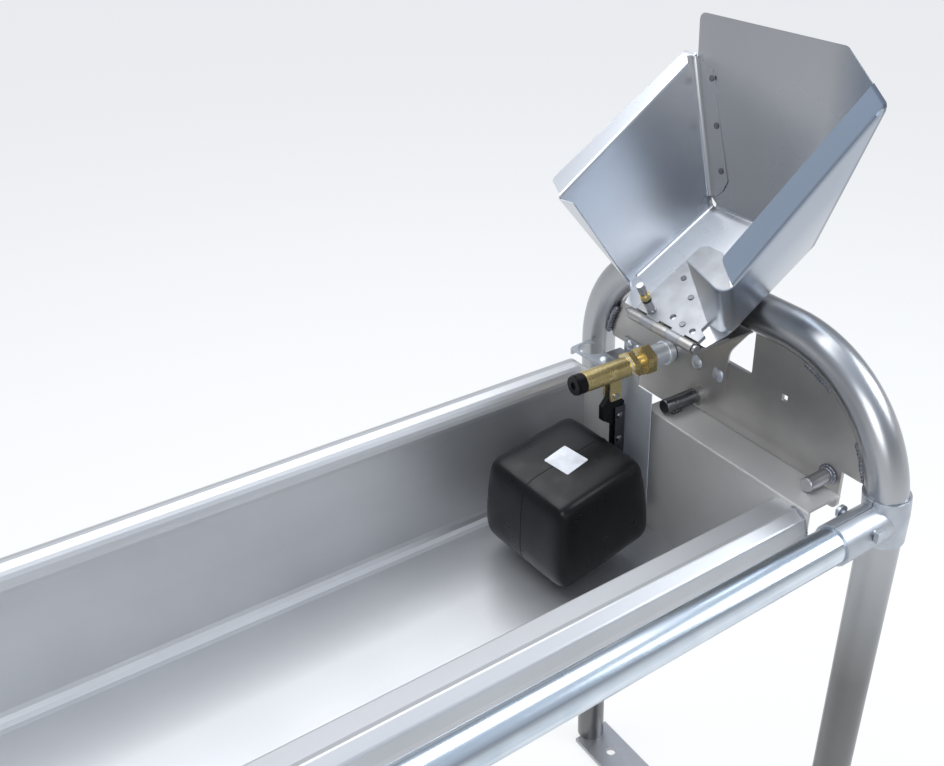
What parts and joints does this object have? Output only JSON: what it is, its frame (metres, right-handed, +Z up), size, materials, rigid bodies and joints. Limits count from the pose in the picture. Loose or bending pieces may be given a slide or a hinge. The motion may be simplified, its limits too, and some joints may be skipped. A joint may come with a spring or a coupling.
{
  "type": "tipping cattle water trough",
  "caption": "Stainless tipping water trough between two tubular end frames, with a float valve under a hinged hood, a guard rail and a swivelling latch.",
  "frame": {"origin": "centre of the four floor bolt holes, on the floor under the foot bars", "axes": "+X along the trough towards the end with the valve, +Y towards the latch side, +Z up"},
  "size_m": [1.6014, 0.5758, 1.3039],
  "materials": {
    "stainless_tube": "satin",
    "stainless": "satin",
    "stainless_sheet": "brushed",
    "dark_stainless": "mill",
    "galvanised": "galvanised",
    "plated_steel": "plated",
    "brass": "cast",
    "black_plastic": "satin",
    "rubber": "matte",
    "white_plastic": "satin"
  },
  "bodies": {
    "stand": {"hoop_right": "stainless_tube", "hoop_left": "stainless_tube", "foot_bar_right": "stainless", "foot_bar_left": "stainless", "end_plate_right": "dark_stainless", "end_plate_left": "dark_stainless", "stop_pin_right": "stainless", "stop_pin_left": "stainless", "guard_rail": "galvanised", "rail_clamp_right": "galvanised", "rail_clamp_left": "galvanised", "clamp_strap_right": "galvanised", "clamp_strap_left": "galvanised", "clamp_bolts": "galvanised", "pivot_collar_right": "dark_stainless", "pivot_collar_left": "dark_stainless", "latch_shelf": "stainless", "latch_bolt": "galvanised", "hinge_bracket": "dark_stainless", "bracket_bolts": "galvanised", "hinge_base_leaf": "dark_stainless", "hinge_pin": "stainless", "coupling_sleeve": "galvanised", "inlet_nipple": "galvanised", "valve_body": "brass", "valve_locknut": "brass", "valve_nozzle": "white_plastic", "valve_cap": "black_plastic", "lever_pin": "plated_steel", "valve_bracket": "stainless_sheet"},
    "trough": {"trough_pan": "stainless_sheet", "trough_end_right": "stainless", "trough_end_left": "stainless", "pivot_pin_right": "dark_stainless", "pivot_pin_left": "dark_stainless"},
    "latch": {"latch_plate": "galvanised"},
    "hood": {"hood_shell": "stainless_sheet", "hood_rivets": "stainless", "hinge_hood_leaf": "galvanised", "catch_barrel": "plated_steel", "catch_lock_ring": "rubber", "catch_nut": "brass", "catch_spring": "plated_steel"},
    "catch": {"catch_plunger": "plated_steel"},
    "float_arm": {"float_lever": "black_plastic", "float_strip": "stainless", "float_body": "black_plastic", "float_screw": "galvanised"},
    "piston": {"valve_piston": "white_plastic", "piston_seal": "rubber"}
  },
  "joints": [
    {"name": "trough_tip", "type": "hinge", "parent": "stand", "child": "trough", "pos_m": [0, 0.047, 0.8531], "axis": [1, 0, 0], "range_deg": [0, 34]},
    {"name": "latch_swing", "type": "hinge", "parent": "stand", "child": "latch", "pos_m": [0.705, 0.19, 0.853], "axis": [0, 0, -1], "range_deg": [-25, 5]},
    {"name": "hood_hinge", "type": "hinge", "parent": "stand", "child": "hood", "pos_m": [0.65, 0, 0.9885], "axis": [0, 1, 0], "range_deg": [-147.4, 0]},
    {"name": "catch_pull", "type": "slide", "parent": "hood", "child": "catch", "axis": [-0.4726, 0, 0.8813], "range_m": [0, 0.007], "stiffness_N_per_m": 800, "springref_m": -0.004},
    {"name": "float_swing", "type": "hinge", "parent": "stand", "child": "float_arm", "pos_m": [0.65, 0.1043, 0.861], "axis": [0, 1, 0], "range_deg": [0, 28]},
    {"name": "piston_slide", "type": "slide", "parent": "stand", "child": "piston", "axis": [1, 0, 0], "range_m": [0, 0.009]}
  ],
  "couplings": [
    {"joint": "piston_slide", "follows": "float_swing", "m_per_rad": 0.0184}
  ]
}
